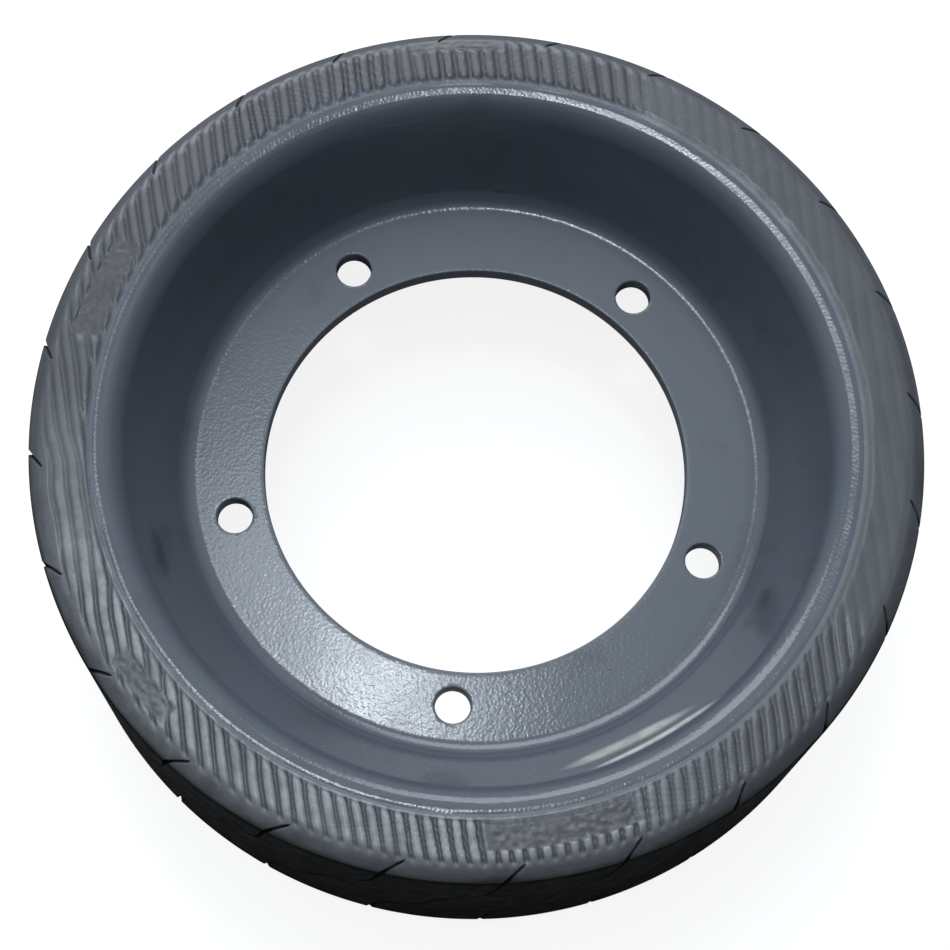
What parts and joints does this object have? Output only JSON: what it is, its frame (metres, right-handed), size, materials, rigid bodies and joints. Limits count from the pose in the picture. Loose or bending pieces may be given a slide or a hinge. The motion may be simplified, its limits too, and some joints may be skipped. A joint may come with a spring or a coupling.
{
  "type": "drive wheel",
  "caption": "Deep-dish steel drive wheel with a moulded-on solid grey rubber tyre, an open centre bore and a ring of stud holes for bolting to a hub or drive motor.",
  "frame": {"origin": "the wheel's centre: on the axle's axis, half way across the tread", "axes": "+Z along the axle, towards the open dish (the outer side). The wheel lies on its side on the back sidewall, as in the picture. +X and +Y are across the wheel, and one stud hole lies on -Y. A parent that rolls the wheel turns it about +Z."},
  "size_m": [0.381, 0.381, 0.127],
  "materials": {
    "wheel_paint": "satin grey enamel with a fine orange peel",
    "weld_paint": "the same grey enamel over weld beads",
    "base_rubber": "hard black rubber",
    "tread_rubber": "matt grey non-marking rubber with moulded sidewall ridges"
  },
  "bodies": {
    "root": {"wheel_dish": "wheel_paint", "rim_band": "wheel_paint", "band_seam_weld": "weld_paint", "front_weld": "weld_paint", "rear_weld": "weld_paint", "tyre_base": "base_rubber", "tyre_tread": "tread_rubber"}
  },
  "joints": []
}
